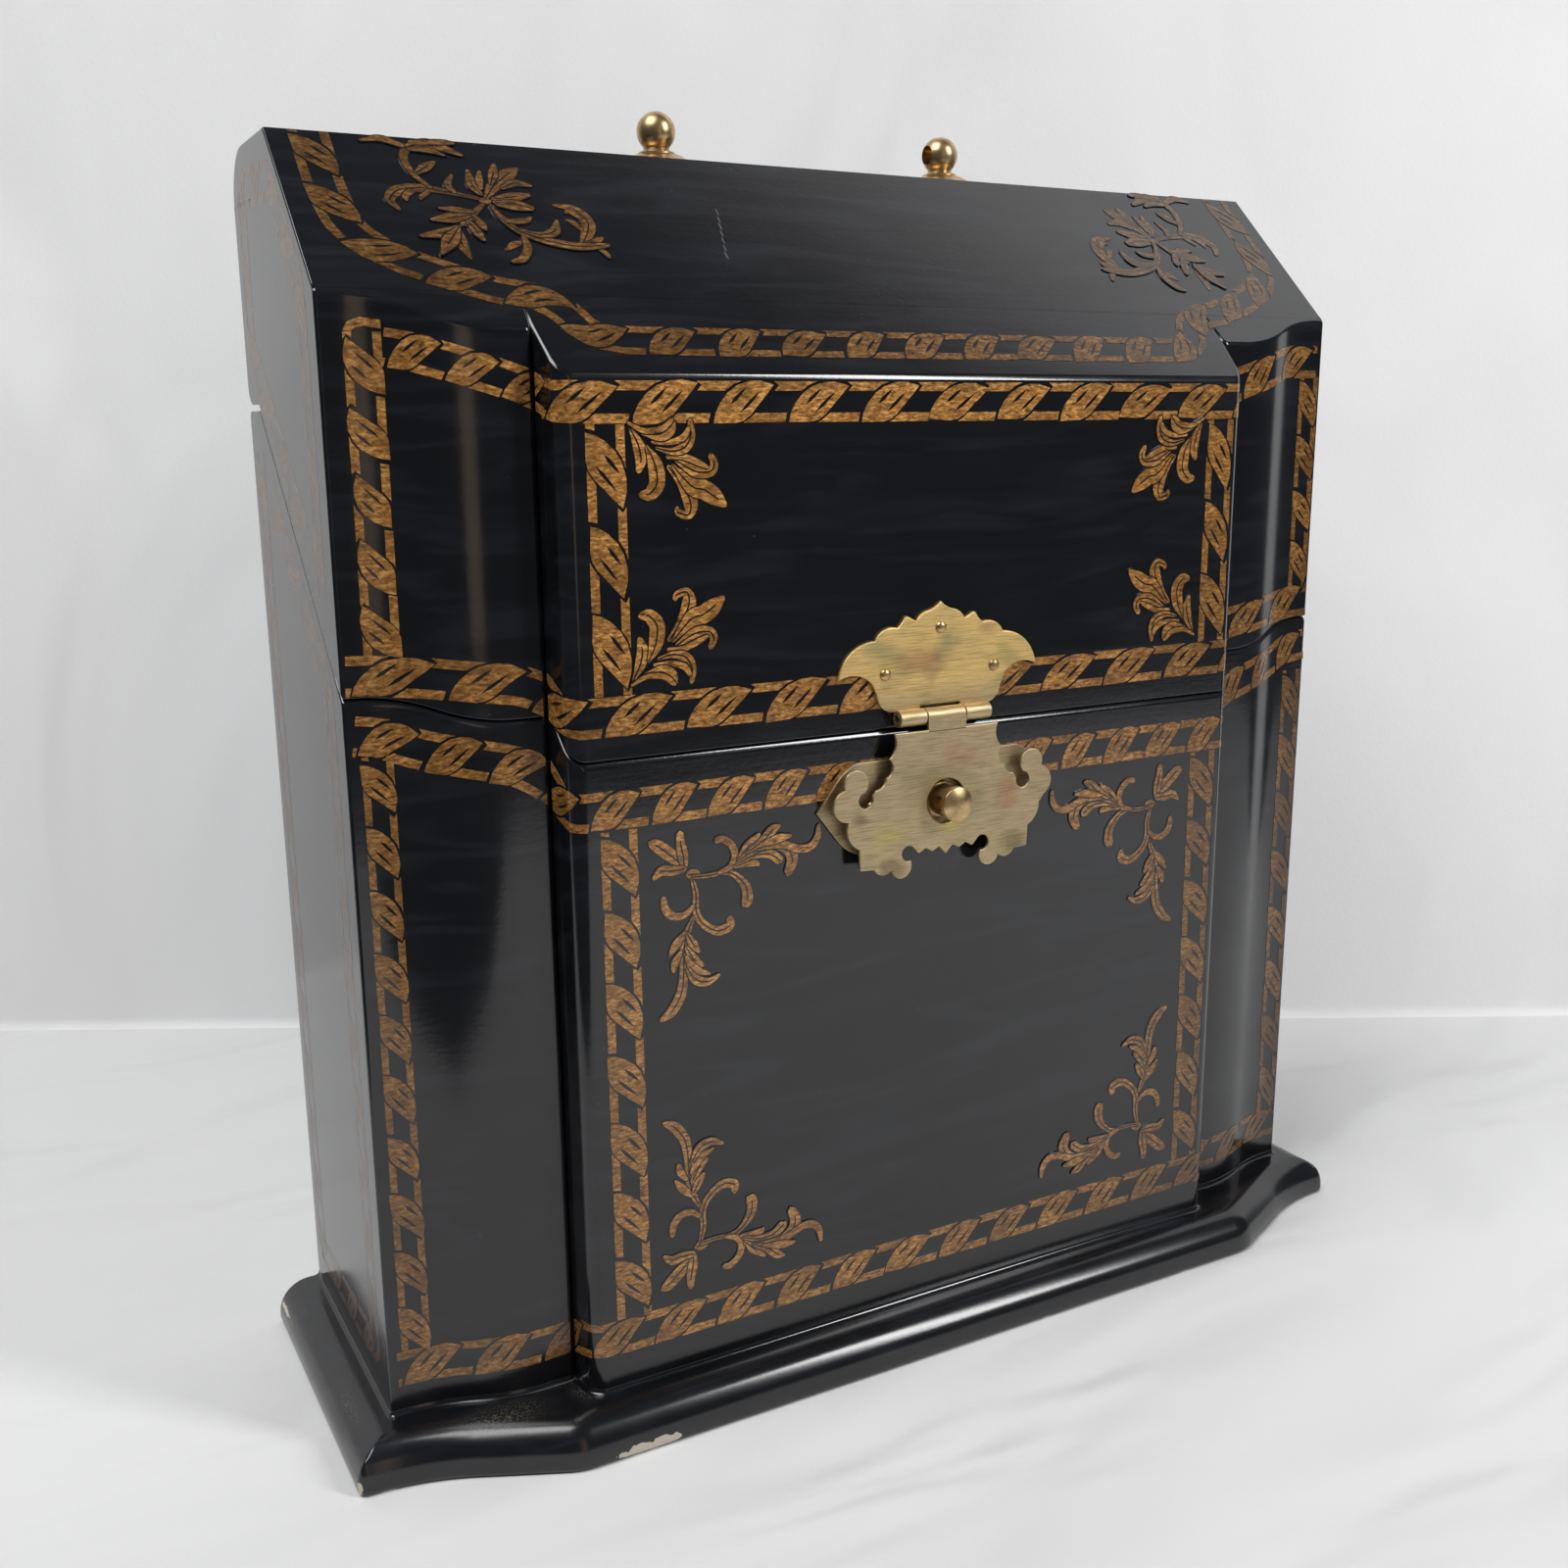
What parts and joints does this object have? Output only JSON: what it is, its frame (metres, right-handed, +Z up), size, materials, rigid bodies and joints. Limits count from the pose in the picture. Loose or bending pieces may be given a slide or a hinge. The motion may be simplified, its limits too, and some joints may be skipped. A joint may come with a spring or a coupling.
{
  "type": "wooden letter box",
  "caption": "Tall shallow letter box of black lacquered wood: sloping front, ogee wings, moulded plinth, lid hinged at the back and a fretted brass hasp over a padlock post.",
  "frame": {"origin": "middle of the footprint, on the surface that the box stands on", "axes": "X runs to the right as seen from the front, the front faces -Y, Z is up"},
  "size_m": [0.329, 0.1152, 0.3402],
  "materials": {
    "lacquer": "satin black lacquer",
    "inside_wood": "dark stained wood, matt",
    "brass": "aged brushed brass",
    "gold_paint": "hand-painted antique gold on lacquer"
  },
  "bodies": {
    "body": {"plinth_board": "lacquer", "body_back": "lacquer", "body_left_side": "lacquer", "body_right_side": "lacquer", "body_front_block": "lacquer", "body_left_wing": "lacquer", "body_right_wing": "lacquer", "front_divider": "inside_wood", "rear_divider": "inside_wood", "catch_plate": "brass", "catch_plate_pins": "brass", "catch_post": "brass", "catch_post_nut": "brass", "left_hinge_body_leaf": "brass", "right_hinge_body_leaf": "brass", "left_hinge_pin": "brass", "right_hinge_pin": "brass", "body_hinge_screws": "brass"},
    "lid": {"lid_top_board": "lacquer", "lid_slope_panel": "lacquer", "lid_back": "lacquer", "lid_left_side": "lacquer", "lid_right_side": "lacquer", "lid_front_block": "lacquer", "lid_left_wing": "lacquer", "lid_right_wing": "lacquer", "left_hinge_lid_leaf": "brass", "right_hinge_lid_leaf": "brass", "lid_hinge_screws": "brass", "hasp_upper_leaf": "brass", "hasp_leaf_pins": "brass", "hasp_hinge_pin": "brass", "left_ball_post": "brass", "right_ball_post": "brass", "left_rosette": "brass", "right_rosette": "brass", "left_ball_post_nut": "brass", "right_ball_post_nut": "brass"},
    "hasp": {"hasp_lower_leaf": "brass"}
  },
  "joints": [
    {"name": "lid_hinge", "type": "hinge", "parent": "body", "child": "lid", "pos_m": [0, 0.0552, 0.2631], "axis": [-1, 0, 0], "range_deg": [0, 100]},
    {"name": "hasp_hinge", "type": "hinge", "parent": "lid", "child": "hasp", "pos_m": [0, -0.04805, 0.1823], "axis": [-1, 0, 0], "range_deg": [0, 150]}
  ]
}
